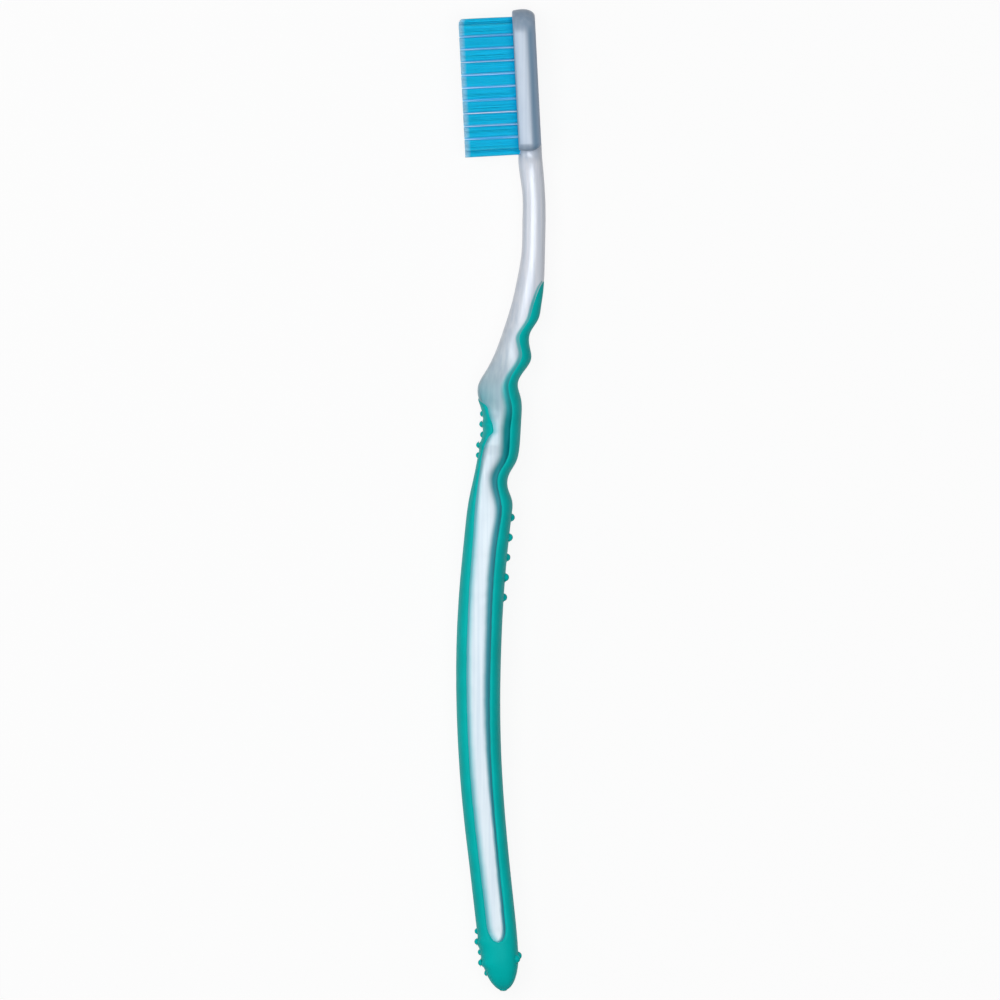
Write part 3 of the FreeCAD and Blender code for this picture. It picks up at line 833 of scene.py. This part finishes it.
def build_tuft(node, material):
    """Bundle of filaments in the place of one tuft."""
    chance = random.Random(node)
    low, high = (corner / METRES_PER_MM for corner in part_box(node))
    middle = (low + high) / 2
    from_base = middle - head_point(0, 0, 0)
    seat = head_point(from_base.dot(HEAD_ALONG), from_base.dot(HEAD_ACROSS), 0)
    tip_reach = max((corner - seat).dot(-HEAD_DEPTH) for corner in tuft_corners(node))
    is_parted = node[len(TUFT_PREFIX)] in INNER_COLUMNS and node not in WHOLE_TUFTS
    line_share = random.Random(node[-2:]).uniform(FAINTEST_LINE_SHARE, 1)
    points = []
    shares = []
    gap_light_shares = []
    faces = []
    for along, across in filament_places(chance):
        along = parted(along) if is_parted else along
        side = HEAD_ALONG * along + HEAD_ACROSS * across
        root = seat + side * TUFT_ROOT_RADIUS + HEAD_DEPTH * ROOT_DEPTH
        length = tip_reach - chance.uniform(0, LENGTH_SPREAD) - corner_drop(root)
        tip = seat + side * TUFT_TIP_RADIUS - HEAD_DEPTH * length
        hair_points, hair_shares, hair_faces = filament(root, tip, chance)
        faces += [tuple(len(points) + corner for corner in face) for face in hair_faces]
        points += hair_points
        shares += hair_shares
        # Painted light: filaments beside the slit are paler and glow faintly in the material.
        gap_light_shares += [line_share * gap_light_share(along) if is_parted else 0.0] * len(hair_shares)
    piece = make_piece("filaments_" + node[len(TUFT_PREFIX):], points, faces, material, node)
    add_values(piece, "tip_share", shares)
    add_values(piece, "gap_light_share", gap_light_shares)
    return piece


def parted(along):
    """Place of a filament along the head, as a share of the tuft's radius, kept clear of the slit."""
    clear = (SLIT / 2 + FILAMENT_RADIUS) / TUFT_ROOT_RADIUS
    return math.copysign(clear + (1 - clear) * abs(along), along)


def gap_light_share(along):
    """How much painted light a filament takes at a place along the head, as a paler colour and a faint glow: 1
    beside the slit, 0 farther off.
    """
    return ease(1 - (abs(along) * TUFT_ROOT_RADIUS - SLIT) / GAP_LIGHT_REACH)


def corner_drop(root):
    """How much shorter a filament is close to the tip end of the bristle field."""
    gap = BRISTLE_END - root.dot(HEAD_ALONG)
    return CORNER_DROP * clamp(1 - gap / CORNER_LENGTH) ** 2


def tuft_corners(node):
    """Corners of a tuft's solid, in millimetres."""
    return [vertex.co / METRES_PER_MM for vertex in frame["nodes"][node].data.vertices]


BRISTLE_END = max(corner.dot(HEAD_ALONG) for corner in tuft_corners("tuft_b01"))


# Materials

# Sockets of a mix node that mixes colours
MIX_FIRST = 6
MIX_SECOND = 7
MIX_RESULT = 2


class Nodes:
    """Short way to make and join a material's nodes."""

    def __init__(self, name):
        self.material = bpy.data.materials.new(name)
        self.material.use_nodes = True
        self.tree = self.material.node_tree
        self.shader = self.tree.nodes["Principled BSDF"]

    def add(self, kind, **values):
        node = self.tree.nodes.new(kind)
        for name, value in values.items():
            setattr(node, name, value)
        return node

    def join(self, source, target):
        self.tree.links.new(source, target)

    def attribute(self, name):
        return self.add("ShaderNodeAttribute", attribute_name=name).outputs["Fac"]

    def place(self):
        """Where a point lies on the object, in metres."""
        return self.add("ShaderNodeTexCoord").outputs["Object"]

    def noise(self, scale, detail, stretch=None):
        """Cloudy 0 to 1 pattern, stretched where the three scales differ."""
        node = self.add("ShaderNodeTexNoise")
        node.inputs["Scale"].default_value = scale
        node.inputs["Detail"].default_value = detail
        place = self.place()
        if stretch:
            mapping = self.add("ShaderNodeMapping")
            mapping.inputs["Scale"].default_value = stretch
            self.join(place, mapping.inputs["Vector"])
            place = mapping.outputs["Vector"]
        self.join(place, node.inputs["Vector"])
        return node.outputs["Fac"]

    def ramp(self, source, stops):
        """Colours at given places of a 0 to 1 value."""
        node = self.add("ShaderNodeValToRGB")
        elements = node.color_ramp.elements
        while len(elements) < len(stops):
            elements.new(0.5)
        for element, (place, colour) in zip(elements, stops):
            element.position = place
            element.color = (*colour, 1)
        self.join(source, node.inputs["Fac"])
        return node.outputs["Color"]

    def mix(self, share, first, second):
        """Colour between two colours or colour outputs."""
        node = self.add("ShaderNodeMix", data_type="RGBA")
        self.join(share, node.inputs["Factor"])
        for socket, value in ((node.inputs[MIX_FIRST], first), (node.inputs[MIX_SECOND], second)):
            if isinstance(value, tuple):
                socket.default_value = (*value, 1)
            else:
                self.join(value, socket)
        return node.outputs[MIX_RESULT]

    def multiply(self, first, second):
        """Product of two colours."""
        node = self.add("ShaderNodeMix", data_type="RGBA", blend_type="MULTIPLY")
        node.inputs["Factor"].default_value = 1
        self.join(first, node.inputs[MIX_FIRST])
        self.join(second, node.inputs[MIX_SECOND])
        return node.outputs[MIX_RESULT]

    def span(self, source, low, high):
        """A 0 to 1 value spread between two numbers."""
        node = self.add("ShaderNodeMapRange")
        node.inputs["To Min"].default_value = low
        node.inputs["To Max"].default_value = high
        self.join(source, node.inputs["Value"])
        return node.outputs["Result"]

    def bump(self, source, strength, distance):
        """Fine relief from a 0 to 1 pattern, as deep as a distance in metres."""
        node = self.add("ShaderNodeBump")
        node.inputs["Strength"].default_value = strength
        node.inputs["Distance"].default_value = distance
        self.join(source, node.inputs["Height"])
        self.join(node.outputs["Normal"], self.shader.inputs["Normal"])

    def feed(self, name, source):
        """Joins an output to one of the shader's inputs."""
        self.join(source, self.shader.inputs[name])

    def set(self, name, value):
        self.shader.inputs[name].default_value = value


def pearl_plastic():
    """Pearly hard plastic, slightly see-through: the teal grip tints it close to its edges, and the vertex
    colours also carry painted light and shade on the head, the neck and beside the back strip, where the
    plastic is less glossy too.
    """
    nodes = Nodes("pearl_plastic")
    tint_and_light = nodes.add("ShaderNodeAttribute", attribute_name="pearl_tint_and_light").outputs["Color"]
    flow = nodes.noise(scale=1, detail=3, stretch=(1500, 25, 1500))
    shade = nodes.ramp(flow, PEARL_FLOW)
    nodes.feed("Base Color", nodes.multiply(tint_and_light, shade))
    nodes.feed("Roughness", nodes.span(nodes.noise(scale=900, detail=4), low=0.3, high=0.42))
    nodes.bump(nodes.noise(scale=5000, detail=2), strength=0.08, distance=0.00002)
    # Pearl is rich in red and the tints and painted shades are poor in it, so red tells how pale and glossy the
    # plastic is.
    channels = nodes.add("ShaderNodeSeparateColor")
    nodes.join(tint_and_light, channels.inputs["Color"])
    paleness = channels.outputs["Red"]
    nodes.feed("Specular IOR Level", nodes.span(paleness, low=0.03, high=0.7))
    nodes.feed("Coat Weight", nodes.span(paleness, low=0.0, high=0.28))
    nodes.set("Coat Roughness", 0.2)
    nodes.set("Metallic", 0.1)
    return nodes.material


def teal_elastomer():
    """Soft satin elastomer with a fine moulded grain."""
    nodes = Nodes("teal_elastomer")
    nodes.feed("Base Color", nodes.ramp(nodes.noise(scale=180, detail=4), TEAL_SHADES))
    nodes.feed("Roughness", nodes.span(nodes.noise(scale=2500, detail=3), low=0.42, high=0.56))
    nodes.bump(nodes.noise(scale=7000, detail=3), strength=0.25, distance=0.00003)
    nodes.set("Specular IOR Level", 0.06)
    return nodes.material


def bristle_nylon():
    """Blue nylon filaments with frosted tips, darker blue at the roots, and painted light beside the slits: a
    paler colour and a faint glow.
    """
    nodes = Nodes("bristle_nylon")
    along = nodes.ramp(nodes.attribute("tip_share"), BRISTLE_SHADES)
    streak = nodes.span(nodes.noise(scale=1800, detail=2), low=0.0, high=0.25)
    blue = nodes.mix(streak, along, BRISTLE_STREAK)
    # Painted light beside the slits: a paler colour and a faint glow.
    gap_light = nodes.attribute("gap_light_share")
    nodes.feed("Base Color", nodes.mix(gap_light, blue, BRISTLE_GAP_LIGHT))
    nodes.feed("Emission Strength", nodes.span(gap_light, low=0.0, high=GAP_GLOW_STRENGTH))
    nodes.set("Emission Color", BRISTLE_GAP_GLOW)
    nodes.feed("Roughness", nodes.span(nodes.noise(scale=3000, detail=2), low=0.3, high=0.45))
    nodes.bump(nodes.noise(scale=9000, detail=2), strength=0.1, distance=0.00002)
    nodes.set("Specular IOR Level", 0.1)
    return nodes.material


def anchor_metal():
    """Stamped brass of the hidden tuft anchors."""
    nodes = Nodes("anchor_metal")
    nodes.feed("Base Color", nodes.ramp(nodes.noise(scale=900, detail=4), BRASS_SHADES))
    nodes.feed("Roughness", nodes.span(nodes.noise(scale=2500, detail=3), low=0.3, high=0.5))
    nodes.bump(nodes.noise(scale=6000, detail=2), strength=0.15, distance=0.00002)
    nodes.set("Metallic", 1.0)
    return nodes.material


# Stage


def seen_share(tree):
    """1 where the camera sees a surface, straight, mirrored or through a clear piece, and otherwise 0."""
    rays = tree.nodes.new("ShaderNodeLightPath")
    seen = rays.outputs["Is Camera Ray"]
    for kind in ("Is Glossy Ray", "Is Transmission Ray"):
        either = tree.nodes.new("ShaderNodeMath")
        either.operation = "MAXIMUM"
        tree.links.new(seen, either.inputs[0])
        tree.links.new(rays.outputs[kind], either.inputs[1])
        seen = either.outputs[0]
    return seen


def floor_material():
    """Grey floor that looks white to the camera and keeps a faint shadow of the brush."""
    nodes = Nodes("floor_paper")
    nodes.feed("Base Color", nodes.ramp(nodes.noise(scale=40, detail=2), FLOOR_SHADES))
    nodes.set("Roughness", 0.9)
    glow = nodes.add("ShaderNodeEmission")
    glow.inputs["Color"].default_value = WHITE
    paper = nodes.add("ShaderNodeBsdfDiffuse")
    paper.inputs["Color"].default_value = PAPER
    white = nodes.add("ShaderNodeMixShader")
    white.inputs["Fac"].default_value = FLOOR_GLOW_SHARE
    nodes.join(paper.outputs["BSDF"], white.inputs[1])
    nodes.join(glow.outputs["Emission"], white.inputs[2])
    both = nodes.add("ShaderNodeMixShader")
    nodes.join(seen_share(nodes.tree), both.inputs["Fac"])
    nodes.join(nodes.shader.outputs["BSDF"], both.inputs[1])
    nodes.join(white.outputs["Shader"], both.inputs[2])
    nodes.join(both.outputs["Shader"], nodes.tree.nodes["Material Output"].inputs["Surface"])
    return nodes.material


def build_floor():
    """Broad floor under the brush."""
    mesh = bpy.data.meshes.new("floor")
    corners = [(across * FLOOR_HALF, along * FLOOR_HALF, 0) for across, along in FLOOR_CORNERS]
    mesh.from_pydata([metres(corner) for corner in corners], [], [(0, 1, 2, 3)])
    mesh.materials.append(floor_material())
    floor = bpy.data.objects.new("floor", mesh)
    bpy.context.scene.collection.objects.link(floor)


def area_lamp(name, place, size, power):
    """Soft rectangular lamp at a place, turned to the brush's middle."""
    lamp = bpy.data.lights.new(name, "AREA")
    lamp.shape = "RECTANGLE"
    lamp.size, lamp.size_y = (side * METRES_PER_MM for side in size)
    lamp.energy = power
    lamp_object = bpy.data.objects.new(name, lamp)
    lamp_object.location = metres(place)
    lamp_object.rotation_euler = (-lamp_object.location).to_track_quat("-Z", "Y").to_euler()
    bpy.context.scene.collection.objects.link(lamp_object)


def build_sky():
    """Dim even sky that shows white to the camera."""
    world = bpy.data.worlds.new("sky")
    world.use_nodes = True
    tree = world.node_tree
    sky = tree.nodes["Background"]
    sky.inputs["Color"].default_value = SKY
    sky.inputs["Strength"].default_value = SKY_STRENGTH
    white = tree.nodes.new("ShaderNodeBackground")
    white.inputs["Color"].default_value = WHITE
    both = tree.nodes.new("ShaderNodeMixShader")
    tree.links.new(seen_share(tree), both.inputs["Fac"])
    tree.links.new(sky.outputs["Background"], both.inputs[1])
    tree.links.new(white.outputs["Background"], both.inputs[2])
    tree.links.new(both.outputs["Shader"], tree.nodes["World Output"].inputs["Surface"])
    bpy.context.scene.world = world


def light_stage():
    """Key from above on the left, weaker low lamps from the left and the right, and a dim even sky."""
    for name, (place, size, power) in LAMPS.items():
        area_lamp(name, place, size, power)
    build_sky()


def place_camera():
    """Camera straight above the brush, framed as the photograph is."""
    low, high = (Vector(corner) / METRES_PER_MM for corner in cad_bounds)
    middle = (low + high) / 2
    half = PHOTO_SIZE / 2
    x = middle.x - (PHOTO_CENTRE[0] - half) * PHOTO_MM_PER_PIXEL
    y = middle.y + (PHOTO_CENTRE[1] - half) * PHOTO_MM_PER_PIXEL
    camera = bpy.data.cameras.new("camera")
    camera.sensor_width = SENSOR
    camera.lens = SENSOR * CAMERA_HEIGHT / (PHOTO_SIZE * PHOTO_MM_PER_PIXEL)
    camera_object = bpy.data.objects.new("camera", camera)
    camera_object.location = metres((x, y, MIDDLE_Z + CAMERA_HEIGHT))
    bpy.context.scene.collection.objects.link(camera_object)
    bpy.context.scene.camera = camera_object


def build_brush():
    """All visible pieces."""
    build_core(pearl_plastic())
    elastomer = teal_elastomer()
    build_grip(elastomer)
    build_dots(elastomer)
    nylon = bristle_nylon()
    for node in sorted(frame["nodes"]):
        if node.startswith(TUFT_PREFIX) and node != ANCHORS:
            build_tuft(node, nylon)
    anchors = frame["nodes"][ANCHORS].data.materials
    anchors.clear()
    anchors.append(anchor_metal())


build_brush()
build_floor()
light_stage()
place_camera()
bpy.context.scene.view_settings.view_transform = "Standard"
